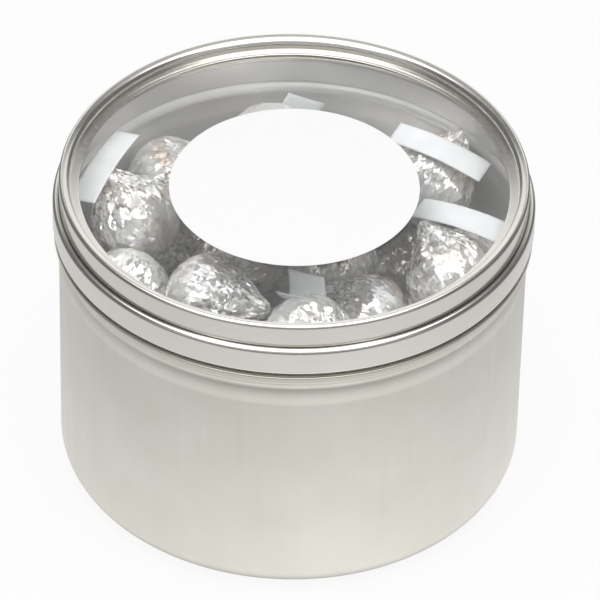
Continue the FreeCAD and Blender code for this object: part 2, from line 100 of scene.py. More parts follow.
class NodeBench:
    """Grows one node tree."""

    def __init__(self, tree: bpy.types.NodeTree) -> None:
        """Clears the tree."""
        self.tree = tree
        tree.nodes.clear()

    def add(self, kind: str, inputs: Mapping[Union[str, int], Value], **settings: object) -> bpy.types.Node:
        """Adds a node.

        Args:
            kind: The node's type.
            inputs: A value for each named input; an output socket is linked, anything else is set.
            **settings: The node's own properties.

        Returns:
            The new node.
        """
        node = self.tree.nodes.new(kind)
        for name, value in settings.items():
            setattr(node, name, value)
        for name, value in inputs.items():
            if isinstance(value, Socket):
                self.tree.links.new(value, node.inputs[name])
            else:
                node.inputs[name].default_value = value
        return node

    def noise(self, coords: Socket, scale: float, detail: float = 2.0) -> Socket:
        """Adds a noise pattern and gives its height."""
        inputs = {"Vector": coords, "Scale": scale, "Detail": detail}
        return self.add("ShaderNodeTexNoise", inputs).outputs["Fac"]

    def stretched(self, coords: Socket, along: float) -> Socket:
        """Adds coordinates that are scaled along Z."""
        return self.add("ShaderNodeMapping", {"Vector": coords, "Scale": (1.0, 1.0, along)}).outputs["Vector"]

    def reckon(self, operation: str, one: Value, other: Value = 0.0) -> Socket:
        """Adds a calculation with one or two numbers."""
        return self.add("ShaderNodeMath", {0: one, 1: other}, operation=operation).outputs["Value"]

    def times(self, one: Value, other: Value) -> Socket:
        """Adds a product of two numbers."""
        return self.reckon("MULTIPLY", one, other)

    def blend(self, factor: Value, one: Socket, other: Socket) -> Socket:
        """Adds a blend of two shaders."""
        return self.add("ShaderNodeMixShader", {0: factor, 1: one, 2: other}).outputs["Shader"]

    def mix(self, factor: Value, one: Value, other: Value, way: str = "MIX") -> Socket:
        """Adds a mix of two colours.

        Args:
            factor: The other colour's share.
            one: One colour.
            other: The other colour.
            way: How they are mixed.

        Returns:
            The mixed colour.
        """
        inputs = {MIX_FACTOR: factor, MIX_COLOURS[0]: one, MIX_COLOURS[1]: other}
        return self.add("ShaderNodeMix", inputs, data_type="RGBA", blend_type=way).outputs[MIXED_COLOUR]

    def cells(self, coords: Socket, scale: float) -> Mapping[str, Socket]:
        """Adds a pattern of scattered cells and gives its outputs."""
        inputs = {"Vector": coords, "Scale": scale, "Randomness": 1.0}
        return self.add("ShaderNodeTexVoronoi", inputs).outputs

    def facets(self, coords: Socket, scale: float) -> Socket:
        """Adds flat facets: a cell's height is the way from its middle along a slope drawn for it.

        Args:
            coords: Where the pattern is read.
            scale: Cells to a metre.

        Returns:
            The height in metres for slopes of up to a half along each axis.
        """
        cells = self.cells(coords, scale)
        way = self.add("ShaderNodeVectorMath", {0: coords, 1: cells["Position"]}, operation="SUBTRACT")
        draw = {0: cells["Color"], 1: (0.5, 0.5, 0.5)}
        slope = self.add("ShaderNodeVectorMath", draw, operation="SUBTRACT")
        inputs = {0: way.outputs["Vector"], 1: slope.outputs["Vector"]}
        return self.add("ShaderNodeVectorMath", inputs, operation="DOT_PRODUCT").outputs["Value"]

    def span(self, source: Socket, start: float, end: float, low: float, high: float) -> Socket:
        """Adds a map of the range start to end onto low to high."""
        inputs = {"Value": source, "From Min": start, "From Max": end, "To Min": low, "To Max": high}
        return self.add("ShaderNodeMapRange", inputs).outputs["Result"]

    def tint(self, source: Socket, stops: Stops) -> Socket:
        """Adds a colour ramp.

        Args:
            source: The height that is read.
            stops: Each place on the ramp with its colour.

        Returns:
            The ramp's colour.
        """
        ramp = self.add("ShaderNodeValToRGB", {"Fac": source})
        elements = ramp.color_ramp.elements
        while len(elements) < len(stops):
            elements.new(1.0)
        for element, (place, colour) in zip(elements, stops):
            element.position = place
            element.color = (*colour, 1.0)
        return ramp.outputs["Color"]

    def bump(self, height: Socket, depth: float, under: Union[Socket, None] = None) -> Socket:
        """Adds a bump of a depth in millimetres, over another bump if one is given."""
        inputs = {"Height": height, "Distance": depth * MM, "Strength": 1.0}
        if under is not None:
            inputs["Normal"] = under
        return self.add("ShaderNodeBump", inputs).outputs["Normal"]

    def show(self, shader: Socket, output: str = "ShaderNodeOutputMaterial") -> None:
        """Links a shader to the tree's output."""
        self.add(output, {"Surface": shader})


def grey(level: float) -> tuple[float, float, float, float]:
    """A grey of a level, with full alpha."""
    return level, level, level, 1.0


def new_material(name: str) -> tuple[bpy.types.Material, NodeBench]:
    """Makes an empty node material.

    Args:
        name: The material's name.

    Returns:
        The material and a bench for its tree.
    """
    material = bpy.data.materials.new(name)
    material.use_nodes = True
    return material, NodeBench(material.node_tree)


@dataclass(frozen=True)
class Tinplate:
    """Bare rolled tinplate: pale warm metal with faint upright rolling streaks and cloudy patches, and painted
    shade in a crease.
    """

    name: str
    smooth: float
    rough: float
    pale: Colour
    dull: Colour
    metal: float
    streak_scale: float = 900.0
    streak_stretch: float = 0.03
    streak_depth: float = 0.0022
    patch_scale: float = 55.0
    grain_scale: float = 5200.0
    grain_depth: float = 0.0006
    # Painted shade: the dark colour laid into the crease at the collar's foot, standing in for the shade there.
    painted_crease_shade: Colour = (0.09, 0.065, 0.05)

    def make(self) -> bpy.types.Material:
        """Builds the finish: noise drawn out along Z for streaks, slow noise for patches, painted shade in a
        crease.

        Returns:
            The material.
        """
        material, bench = new_material(self.name)
        coords = bench.add("ShaderNodeTexCoord", {}).outputs["Object"]
        streaks = bench.noise(bench.stretched(coords, self.streak_stretch), self.streak_scale, detail=3.0)
        patches = bench.noise(coords, self.patch_scale, detail=4.0)
        grain = bench.noise(coords, self.grain_scale, detail=1.0)
        normal = bench.bump(grain, self.grain_depth, bench.bump(streaks, self.streak_depth))
        # The crease attribute says how much painted shade each point takes.
        crease = bench.add("ShaderNodeAttribute", {}, attribute_name=CREASE).outputs["Fac"]
        unshaded = bench.tint(patches, tuple(zip(TONE_PLACES, (self.dull, self.pale))))
        shader = bench.add("ShaderNodeBsdfPrincipled", {
            "Base Color": bench.mix(crease, unshaded, (*self.painted_crease_shade, 1.0)),
            "Metallic": self.metal,
            "Roughness": bench.span(streaks, *NOISE_RANGE, self.smooth, self.rough),
            "Normal": normal,
        })
        bench.show(shader.outputs["BSDF"])
        return material


@dataclass(frozen=True)
class Foil:
    """Thin silver foil with fine crinkles, painted shading on its facets, and a painted warm reflection where
    it is dull.
    """

    # Painted shading: each facet takes a lighter or darker shade, warm in the darkest, standing in for how
    # light falls on it.
    painted_facet_shades: Stops = (
        (0.02, (0.46, 0.39, 0.345)),
        (0.14, (0.80, 0.75, 0.715)),
        (0.32, (0.955, 0.945, 0.93)),
        (0.55, (0.99, 0.99, 0.985)),
    )
    # Painted reflection: slow patches of warm tint standing in for warm things reflected in the foil.
    painted_warm_reflections: Stops = (
        (0.30, (0.86, 0.76, 0.69)),
        (0.46, (1.0, 0.985, 0.975)),
        (0.62, (0.985, 1.0, 1.0)),
    )
    plain: float = 0.6
    smooth: float = 0.07
    rough: float = 0.18
    metal: float = 0.52
    crease_scale: float = 760.0
    grain_scale: float = 2100.0
    crease_tilt: float = 1.5
    grain_tilt: float = 0.75
    stretch: float = 0.45
    painted_reflection_scale: float = 140.0

    def make(self) -> bpy.types.Material:
        """Builds the finish: flat facets of two sizes, drawn out along the drop, and a painted shade, lighter
        or darker, for each.

        Slow noise changes the shine and the painted warm reflection.

        Returns:
            The material.
        """
        material, bench = new_material("silver_foil")
        spot = bench.add("ShaderNodeAttribute", {}, attribute_name=FOIL_SPOT).outputs["Vector"]
        crinkle = bench.add("ShaderNodeAttribute", {}, attribute_name=CRINKLE).outputs["Fac"]
        drawn = bench.stretched(spot, self.stretch)
        # Slow noise sets the shine and where the painted warm reflection lies.
        slow = bench.noise(spot, self.painted_reflection_scale)
        creases = bench.times(bench.facets(drawn, self.crease_scale), crinkle)
        grain = bench.times(bench.facets(drawn, self.grain_scale), crinkle)
        cells = bench.cells(drawn, self.grain_scale)
        draw = bench.add("ShaderNodeSeparateXYZ", {"Vector": cells["Color"]}).outputs["X"]
        # The facet's random draw picks its painted shade; uncrinkled foil takes the plain shade.
        inputs = {MIX_FACTOR: crinkle, MIX_NUMBERS[0]: self.plain, MIX_NUMBERS[1]: draw}
        tone = bench.add("ShaderNodeMix", inputs).outputs[MIXED_NUMBER]
        colour = bench.mix(1.0, bench.tint(tone, self.painted_facet_shades), bench.tint(slow, self.painted_warm_reflections), "MULTIPLY")
        normal = bench.bump(grain, self.grain_tilt / MM, bench.bump(creases, self.crease_tilt / MM))
        shader = bench.add("ShaderNodeBsdfPrincipled", {
            "Base Color": colour,
            "Metallic": self.metal,
            "Roughness": bench.span(slow, *NOISE_RANGE, self.rough, self.smooth),
            "Normal": normal,
        })
        bench.show(shader.outputs["BSDF"])
        return material


@dataclass(frozen=True)
class ClearSheet:
    """Clear plastic sheet that lets the lamps through to what lies under it."""

    tone: Colour = (0.985, 0.99, 0.99)
    shadow_tone: Colour = (0.96, 0.965, 0.965)
    index: float = 1.56
    rough: float = 0.03
    ripple_scale: float = 130.0
    ripple_depth: float = 0.0004

    def make(self) -> bpy.types.Material:
        """Builds the finish: a clear shader with a faint ripple, see-through to shadow rays.

        Returns:
            The material.
        """
        material, bench = new_material("clear_sheet")
        coords = bench.add("ShaderNodeTexCoord", {}).outputs["Object"]
        ripple = bench.noise(coords, self.ripple_scale)
        sheet = bench.add("ShaderNodeBsdfPrincipled", {
            "Base Color": (*self.tone, 1.0),
            "Roughness": bench.span(ripple, *NOISE_RANGE, 0.0, self.rough),
            "IOR": self.index,
            "Transmission Weight": 1.0,
            "Normal": bench.bump(ripple, self.ripple_depth),
        })
        open_way = bench.add("ShaderNodeBsdfTransparent", {"Color": (*self.shadow_tone, 1.0)})
        shadow = bench.add("ShaderNodeLightPath", {}).outputs["Is Shadow Ray"]
        bench.show(bench.blend(shadow, sheet.outputs["BSDF"], open_way.outputs["BSDF"]))
        return material


@dataclass(frozen=True)
class Paper:
    """White paper with a fibre grain."""

    name: str
    pale: Colour
    shade: Colour
    smooth: float
    fibre_depth: float
    rougher: float = 0.15
    shine: float = 0.35
    fibre_scale: float = 2600.0
    tone_scale: float = 240.0

    def make(self) -> bpy.types.Material:
        """Builds the finish: fine noise for fibres, slow noise for the tone.

        Returns:
            The material.
        """
        material, bench = new_material(self.name)
        coords = bench.add("ShaderNodeTexCoord", {}).outputs["Object"]
        fibres = bench.noise(coords, self.fibre_scale, detail=4.0)
        tone = bench.noise(coords, self.tone_scale, detail=3.0)
        shader = bench.add("ShaderNodeBsdfPrincipled", {
            "Base Color": bench.tint(tone, tuple(zip(TONE_PLACES, (self.shade, self.pale)))),
            "Roughness": bench.span(fibres, *NOISE_RANGE, self.smooth, self.smooth + self.rougher),
            "Specular IOR Level": self.shine,
            "Normal": bench.bump(fibres, self.fibre_depth),
        })
        bench.show(shader.outputs["BSDF"])
        return material


# Surfaces


@dataclass
class Surface:
    """Points in millimetres and the faces that join them."""

    points: Array
    quads: Array
    triangles: Array

    def add(self, name: str, material: bpy.types.Material) -> bpy.types.Object:
        """Puts the surface into the scene as one smooth piece at the origin.

        Args:
            name: The piece's name.
            material: Its finish.

        Returns:
            The new object.
        """
        mesh = bpy.data.meshes.new(name)
        mesh.from_pydata((self.points * MM).tolist(), [], self.quads.tolist() + self.triangles.tolist())
        mesh.polygons.foreach_set("use_smooth", np.ones(len(mesh.polygons), bool))
        mesh.materials.append(material)
        mesh.update()
        piece = bpy.data.objects.new(name, mesh)
        bpy.context.scene.collection.objects.link(piece)
        return piece


def skin(grid: Array, poles: Union[Array, None] = None) -> Surface:
    """Joins a grid of points whose columns go once round.

    Each quad takes a point, its neighbour in the next column, and the same two in the next row. Without poles
    the last row is joined to the first; with them each end row is closed by a fan to its pole.

    Args:
        grid: Points by row and column.
        poles: The first and the last end point.

    Returns:
        The closed surface.
    """
    rows, columns = grid.shape[:2]
    number = np.arange(rows * columns).reshape(rows, columns)
    across = np.roll(number, -1, axis=1)
    if poles is None:
        corners = [number, across, np.roll(across, -1, axis=0), np.roll(number, -1, axis=0)]
        return Surface(grid.reshape(-1, 3), np.stack(corners, -1).reshape(-1, 4), np.zeros((0, 3), int))
    quads = np.stack([number[:-1], across[:-1], across[1:], number[1:]], -1).reshape(-1, 4)
    first, last = np.full(columns, rows * columns), np.full(columns, rows * columns + 1)
    fans = [np.stack([first, across[0], number[0]], -1), np.stack([number[-1], across[-1], last], -1)]
    return Surface(np.vstack([grid.reshape(-1, 3), poles]), quads, np.vstack(fans))


def turned(outline: Array, spokes: int) -> Surface:
    """Carries an outline round the Z axis: radius times the angle's cosine and sine, and the height.

    Args:
        outline: Radius and height of each point; it is a loop, or it starts and ends on the axis.
        spokes: Steps once round.

    Returns:
        The turned surface.
    """
    angle = np.linspace(0.0, 2.0 * math.pi, spokes, endpoint=False)
    radius, height = outline[:, :1], np.repeat(outline[:, 1:], spokes, axis=1)
    grid = np.stack([radius * np.cos(angle), radius * np.sin(angle), height], -1)
    if outline[0, 0] > 0.0:
        return skin(grid)
    return skin(grid[1:-1], grid[[0, -1], 0])


def eased(place: Array, places: Sequence[float], values: Sequence[float]) -> Array:
    """Reads a curve through given values: between two of them it goes by the smooth step 3t^2 - 2t^3.

    Args:
        place: Where to read.
        places: Where the values stand, in rising order.
        values: The values there.

    Returns:
        The curve's values.
    """
    at, value = np.asarray(places, float), np.asarray(values, float)
    k = np.clip(np.searchsorted(at, place) - 1, 0, len(at) - 2)
    t = np.clip((place - at[k]) / (at[k + 1] - at[k]), 0.0, 1.0)
    return value[k] + (value[k + 1] - value[k]) * t * t * (3.0 - 2.0 * t)


class Corner(NamedTuple):
    """A corner of a sheet's middle line: radius, height, and the radius that it is bent to."""

    radius: float
    height: float
    bend: float = 0.0


@dataclass(frozen=True)
class BentSheet:
    """The section of a sheet that is bent along a line of corners."""

    gauge: float
    corners: tuple[Corner, ...]
    arc_step: float = math.radians(8.0)
    run_step: float = 4.0
    run_edge: float = 0.2
    end_steps: int = 7
    least_step: float = 1e-4

    def straight(self, start: Array, end: Array) -> Array:
        """Points along a straight run: evenly spaced, with one close to each end so that shading stays flat.

        Args:
            start: Where the run starts.
            end: Where it ends.

        Returns:
            The points.
        """
        length = float(np.linalg.norm(end - start))
        if length < self.least_step:
            return start[None]
        edge = min(self.run_edge, length / 4.0)
        inner = np.linspace(edge, length - edge, max(2, math.ceil(length / self.run_step)))
        share = np.concatenate([[0.0], inner, [length]])[:, None] / length
        return start + (end - start) * share

    def middle(self) -> tuple[Array, Array]:
        """The middle line: straight runs joined by arcs that touch both runs.

        Returns:
            The points and the direction at each.
        """
        spots = np.array([(c.radius, c.height) for c in self.corners])
        ways = np.diff(spots, axis=0)
        ways = ways / np.linalg.norm(ways, axis=1, keepdims=True)
        points, headings, start = [], [], spots[0]
        for k, way in enumerate(ways):
            turn, bend = 0.0, 0.0
            if k + 1 < len(ways):
                after = ways[k + 1]
                turn = math.atan2(way[0] * after[1] - way[1] * after[0], float(way @ after))
                bend = self.corners[k + 1].bend
            end = spots[k + 1] - way * bend * math.tan(abs(turn) / 2.0)
            run = self.straight(start, end)
            points.append(run)
            headings.append(np.repeat(way[None], len(run), axis=0))
            start = end
            if bend > 0.0 and abs(turn) > 0.0:
                arm = -math.copysign(bend, turn) * np.array([-way[1], way[0]])
                angle = np.linspace(0.0, turn, max(3, math.ceil(abs(turn) / self.arc_step)) + 1)[1:, None]
                cos, sin = np.cos(angle), np.sin(angle)
                points.append(end - arm + arm * cos + np.array([-arm[1], arm[0]]) * sin)
                headings.append(way * cos + np.array([-way[1], way[0]]) * sin)
                start = points[-1][-1]
        line, heading = np.vstack(points), np.vstack(headings)
        kept = np.concatenate([[True], np.linalg.norm(np.diff(line, axis=0), axis=1) > self.least_step])
        return line[kept], heading[kept]

    def outline(self) -> Array:
        """The sheet's edge: the middle line moved half the gauge to its right, and back along its left.

        The ends are half circles.

        Returns:
            Radius and height of each point, in order.
        """
        line, way = self.middle()
        side, half = np.stack([way[:, 1], -way[:, 0]], 1), self.gauge / 2.0
        angle = np.linspace(0.0, math.pi, self.end_steps)[1:-1, None]
        cos, sin = np.cos(angle), np.sin(angle)
        end = line[-1] + half * (cos * side[-1] + sin * way[-1])
        parts = [line + half * side, end, line[::-1] - half * side[::-1]]
        if line[0, 0] > 0.0:
            parts.append(line[0] - half * (cos * side[0] + sin * way[0]))
        return np.vstack(parts)


def dress(piece: bpy.types.Object, body: Body, node: str) -> bpy.types.Object:
    """Puts a piece on its body in place of its node.

    Args:
        piece: The piece.
        body: The body that it rides on.
        node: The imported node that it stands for.

    Returns:
        The piece.
    """
    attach(piece, body.value)
    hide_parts(node)
    log.info("%s rides on %s for %s, %d faces", piece.name, body.value, node, len(piece.data.polygons))
    return piece


def node_points(node: str) -> Array:
    """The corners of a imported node's mesh, in millimetres."""
    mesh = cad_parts[node].data
    flat = np.empty(3 * len(mesh.vertices), np.float32)
    mesh.vertices.foreach_get("co", flat)
    return flat.reshape(-1, 3).astype(float) / MM


# Tin


@dataclass
class TinBody:
    """The drawn tin: base with a foot ring, wall, cove, stop bead, neck and curled mouth."""

    spokes: int = 300
    gauge: float = 0.3
    corners: tuple[Corner, ...] = (
        Corner(0.0, 0.95),
        Corner(39.4, 0.95, 1.5),
        Corner(41.6, 0.15, 1.5),
        Corner(51.05, 0.15, 5.85),
        Corner(51.05, 53.6, 5.0),
        Corner(51.42, 56.6, 9.0),
        Corner(51.02, 58.9, 2.3),
        Corner(52.15, 60.5, 0.6),
        Corner(52.15, 61.95, 0.17),
        Corner(51.05, 61.40, 0.17),
        Corner(51.05, 68.85, 0.45),
        Corner(50.15, 68.85, 0.45),
        Corner(50.15, 67.9),
    )

    def build(self, plate: bpy.types.Material, lining: bpy.types.Material) -> None:
        """Turns the bent sheet into the tin and puts it on its body.

        A face belongs to the inside where its outline points come after the sheet's end.

        Args:
            plate: The finish of the outside.
            lining: The finish of the inside.
        """
        outline = BentSheet(self.gauge, self.corners).outline()
        surface = turned(outline, self.spokes)
        piece = surface.add("tin_shell", plate)
        piece.data.materials.append(lining)
        rows = np.concatenate([surface.quads.min(1), surface.triangles.min(1)]) // self.spokes
        inner = (rows > len(outline) // 2).astype(np.int32)
        inner[len(surface.quads):] = np.repeat([0, 1], self.spokes)
        piece.data.polygons.foreach_set("material_index", inner)
        dress(piece, Body.TIN, "tin_body")


# Lid


@dataclass
class WindowLid:
    """The lid: rolled ring, clear window, the ring that holds it, and a plain round label."""

    spokes: int = 300
    gauge: float = 0.3
    ring: tuple[Corner, ...] = (
        Corner(51.65, 64.5),
        Corner(51.65, 63.35, 0.35),
        Corner(52.35, 63.35, 0.35),
        Corner(52.35, 69.40, 0.75),
        Corner(50.95, 69.40, 0.17),
        Corner(50.95, 75.12, 0.55),
        Corner(48.75, 74.72, 1.35),
        Corner(48.75, 72.45, 0.17),
        Corner(46.9, 72.25),
    )
    # Where the painted crease shade is darkest, how far it reaches, and how strongly it fills.
    crease: tuple[float, float] = (51.10, 69.55)
    crease_reach: float = 0.21
    crease_fill: float = 2.0
    retainer: tuple[Corner, ...] = (
        Corner(47.45, 71.55),
        Corner(50.4, 71.55, 0.35),
        Corner(50.4, 73.1),
    )
    label_radius: float = 27.25
    label_under: float = 72.1
    label_top: float = 72.25
    label_rings: int = 16
    label_edge_steps: int = 9
    label_edge: float = 0.1

    def label_outline(self) -> Array:
        """The label's section: flat faces from the axis to the edge, and a round edge.

        Returns:
            Radius and height of each point, from the axis below to the axis above.
        """
        half = (self.label_top - self.label_under) / 2.0
        middle, edge = self.label_under + half, self.label_radius - half
        angle = np.linspace(-math.pi / 2.0, math.pi / 2.0, self.label_edge_steps)
        turn = np.stack([edge + half * np.cos(angle), middle + half * np.sin(angle)], 1)
        flat = np.linspace(0.0, edge - self.label_edge, self.label_rings)[:, None]
        under = np.hstack([flat, np.full_like(flat, self.label_under)])
        over = np.hstack([flat[::-1], np.full_like(flat, self.label_top)])
        return np.vstack([under, turn, over])

    def painted_crease_shade(self, piece: bpy.types.Object, outline: Array) -> None:
        """Stores how much painted shade the ring takes: fully in the crease above the shoulder, and less away
        from it.

        Args:
            piece: The ring.
            outline: The section that it was turned from.
        """
        away = np.linalg.norm(outline - self.crease, axis=1)
        amount = np.clip(self.crease_fill * (1.0 - away / self.crease_reach), 0.0, 1.0)
        values = np.repeat(amount, self.spokes).astype(np.float32)
        piece.data.attributes.new(CREASE, "FLOAT", "POINT").data.foreach_set("value", values)

    def build(self, plate: bpy.types.Material, clear: bpy.types.Material, label: bpy.types.Material) -> None:
        """Builds the lid's pieces and puts them on its body.

        Args:
            plate: The finish of the ring and its retainer.
            clear: The finish of the window.
            label: The finish of the label.
        """
        section = BentSheet(self.gauge, self.ring).outline()
        ring = turned(section, self.spokes).add("lid_shell", plate)
        self.painted_crease_shade(ring, section)
        dress(ring, Body.LID, "lid_ring")
        holder = BentSheet(self.gauge, self.retainer).outline()
        retainer = turned(holder, self.spokes).add("retainer_shell", plate)
        dress(retainer, Body.LID, "window_retainer")
        disc = turned(self.label_outline(), self.spokes).add("label_disc", label)
        dress(disc, Body.LID, "label")
        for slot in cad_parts["window"].material_slots:
            slot.material = clear
        log.info("window keeps its packed shape")


# Contents


@dataclass(frozen=True)
class Crumple:
    """Facets of creased foil of one size: how far apart their middles are and how deep they sink."""

    pitch: float
    depth: float
    ridge: float = 0.7
    level: float = 0.55
    sway: float = 0.45

    def sunk(self, points: Array, weights: Array, area: float, rng: np.random.Generator) -> Array:
        """How far each point sinks.

        Middles are scattered over the points. A point sinks by how much farther its second nearest middle is
        than its nearest, so that facets meet in ridges, times a slope that is drawn for each facet.

        Args:
            points: The points.
            weights: How likely each is to be a middle.
            area: The surface's area.
            rng: The source of random draws.

        Returns:
            A depth for each point.
        """
        count = int(area / self.pitch ** 2)
        middles = points[rng.choice(len(points), count, replace=False, p=weights / weights.sum())]
        slopes = rng.normal(size=(count, 3))
        apart = np.linalg.norm(points[:, None] - middles[None], axis=-1)
        nearest = np.argpartition(apart, 1, axis=1)[:, :2]
        near = np.take_along_axis(apart, nearest, axis=1)
        rise = np.clip((near[:, 1] - near[:, 0]) / (self.ridge * self.pitch), 0.0, 1.0)
        own = nearest[:, 0]
        lean = np.einsum("ij,ij->i", points - middles[own], slopes[own]) / self.pitch
        return self.depth * rise * (self.level + self.sway * np.tanh(lean))


@dataclass
class WrappedDrops:
    """Foil-wrapped drops: a smooth round base, a crumpled cone and a gathered tip."""

    base_radius: float = 10.4
    tip_radius: float = 2.6
    rise: float = 11.2
    rows: int = 120
    columns: int = 176
    kinds: int = 7
    seed: int = 31
    shown_height: float = 46.0
    facets: tuple[Crumple, ...] = (Crumple(3.6, 0.55), Crumple(1.5, 0.42))
    pleats: int = 13
    pleat_depth: float = 0.30
    pleat_twist: float = 4.0
    deepest: float = 0.45
    places: tuple[float, ...] = (0.0, 0.34, 0.50, 0.64, 0.78, 0.88, 1.0)
    slimness: tuple[float, ...] = (0.985, 0.985, 0.965, 0.91, 0.85, 0.83, 0.97)
    creased: tuple[float, ...] = (0.06, 0.12, 0.75, 1.0, 1.0, 0.9, 0.6)
    pleated: tuple[float, ...] = (0.0, 0.0, 0.1, 0.5, 0.9, 1.0, 0.3)
    crinkled: float = 0.40
    pattern_step: float = 0.05
    search_rounds: int = 4
    steep: float = 0.9

    @property
    def length(self) -> float:
        """From the base to the tip."""
        return self.base_radius + self.rise + self.tip_radius

    @property
    def shares(self) -> Array:
        """Where the rows stand, as shares of the length: half of one minus the cosine, over a half turn."""
        return (1.0 - np.cos(np.linspace(0.0, math.pi, self.rows + 2))) / 2.0

    def envelope(self, along: Array) -> Array:
        """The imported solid's radius: a ball, a cone that touches both balls, and a small ball.

        Args:
            along: Distance from the base.

        Returns:
            The radius there.
        """
        lean = (self.base_radius - self.tip_radius) / self.rise
        out = math.sqrt(1.0 - lean * lean)
        low = self.base_radius * (1.0 + lean)
        high = self.base_radius + self.rise + self.tip_radius * lean
        ball = np.sqrt(np.clip(along * (2.0 * self.base_radius - along), 0.0, None))
        share = np.clip((along - low) / (high - low), 0.0, 1.0)
        cone = out * (self.base_radius + (self.tip_radius - self.base_radius) * share)
        left = self.length - along
        tip = np.sqrt(np.clip(left * (2.0 * self.tip_radius - left), 0.0, None))
        return np.where(along < low, ball, np.where(along < high, cone, tip))

    def shape(self, rng: np.random.Generator) -> Array:
        """One crumpled drop, upright on its base.

        A row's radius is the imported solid's, made slimmer along the cone. Facets and pleats then sink it by
        the profile's own normal.

        Args:
            rng: The source of random draws.

        Returns:
            Points by row and column; the first and the last row are the poles.
        """
        share = self.shares
        along = self.length * share
        radius = self.envelope(along) * eased(share, self.places, self.slimness)
        slope = np.stack([np.gradient(radius), np.gradient(along)], 1)
        slope /= np.linalg.norm(slope, axis=1, keepdims=True)
        angle = np.linspace(0.0, 2.0 * math.pi, self.columns, endpoint=False)
        round_way = np.stack([np.cos(angle), np.sin(angle), np.zeros_like(angle)], -1)
        upward = np.array([0.0, 0.0, 1.0])
        grid = radius[:, None, None] * round_way + along[:, None, None] * upward
        normal = slope[:, 1, None, None] * round_way - slope[:, 0, None, None] * upward
        points = grid.reshape(-1, 3)
        step = np.hypot(np.gradient(radius), np.gradient(along))
        weights = np.repeat(radius * step, self.columns)
        area = float(weights.sum() * 2.0 * math.pi / self.columns)
        sunk = sum(f.sunk(points, weights, area, rng) for f in self.facets).reshape(grid.shape[:2])
        sunk = sunk * eased(share, self.places, self.creased)[:, None]
        twist = rng.uniform(-self.pleat_twist, self.pleat_twist)
        start = rng.uniform(0.0, 2.0 * math.pi)
        wave = np.cos(self.pleats * angle + start + twist * share[:, None])
        sunk += self.pleat_depth * (0.5 - 0.5 * wave) * eased(share, self.places, self.pleated)[:, None]
        sunk = np.minimum(sunk, self.deepest * radius[:, None])
        return grid - normal * sunk[..., None]

    def mark(self, piece: bpy.types.Object, shape: Array, step: int, number: int) -> None:
        """Stores what the finish reads: the place on the upright drop, and how crinkled the foil is there.

        Args:
            piece: The drop.
            shape: The upright drop's points.
            step: Which grid lines are kept.
            number: The drop's number, which moves the pattern.
        """
        rows = self.crinkled + (1.0 - self.crinkled) * eased(self.shares, self.places, self.creased)
        amount = np.append(np.repeat(rows[1:-1:step], self.columns // step), rows[[0, -1]])
        spots = np.vstack([shape[1:-1:step, ::step].reshape(-1, 3), shape[[0, -1], 0]]) * MM
        spots += self.pattern_step * number
        store = piece.data.attributes.new
        store(CRINKLE, "FLOAT", "POINT").data.foreach_set("value", amount.astype(np.float32))
        store(FOIL_SPOT, "FLOAT_VECTOR", "POINT").data.foreach_set("vector", spots.astype(np.float32).ravel())

    def stand(self, node: str, rng: np.random.Generator) -> Matrix:
        """Finds how a packed drop lies: its two points that are farthest apart are the base and the tip.

        Args:
            node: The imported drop.
            rng: The source of the turn about its own axis.

        Returns:
            The axes as columns, and the base, as one matrix.
        """
        points = node_points(node)
        one = points.mean(0)
        for _ in range(self.search_rounds):
            other = one
            one = points[np.argmax(np.linalg.norm(points - other, axis=1))]
        axis = (one - other) / np.linalg.norm(one - other)
        along = (points - other) @ axis
        beside = np.linalg.norm(points - other - along[:, None] * axis, axis=1)
        if along[np.argmax(beside)] > along.max() / 2.0:
            one, other, axis = other, one, -axis
        turn = rng.uniform(0.0, 2.0 * math.pi)
        aside = np.cross(axis, [0.0, 0.0, 1.0] if abs(axis[2]) < self.steep else [1.0, 0.0, 0.0])
        aside /= np.linalg.norm(aside)
        first = aside * math.cos(turn) + np.cross(axis, aside) * math.sin(turn)
        place = np.eye(4)
        place[:3, :] = np.stack([first, np.cross(axis, first), axis, other], 1)
        return Matrix(place.tolist())

    def build(self, foil: bpy.types.Material) -> None:
        """Makes the kinds of drop and lays one in the place of each packed drop.

        Args:
            foil: The finish.
        """
        rng = np.random.default_rng(self.seed)
        shapes = [self.shape(rng) for _ in range(self.kinds)]
        nodes = sorted(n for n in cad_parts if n.startswith("wrapped_drop_"))
        for k, node in enumerate(nodes):
            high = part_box(node)[1].z / MM
            step = (Detail.FULL if high > self.shown_height else Detail.HALF).value
            place = np.array(self.stand(node, rng))
            shape = shapes[k % self.kinds]
            grid = shape @ place[:3, :3].T + place[:3, 3]
            piece = skin(grid[1:-1:step, ::step], grid[[0, -1], 0]).add(node.replace("wrapped", "foil"), foil)
            self.mark(piece, shape, step, k)
            dress(piece, Body.TIN, node)


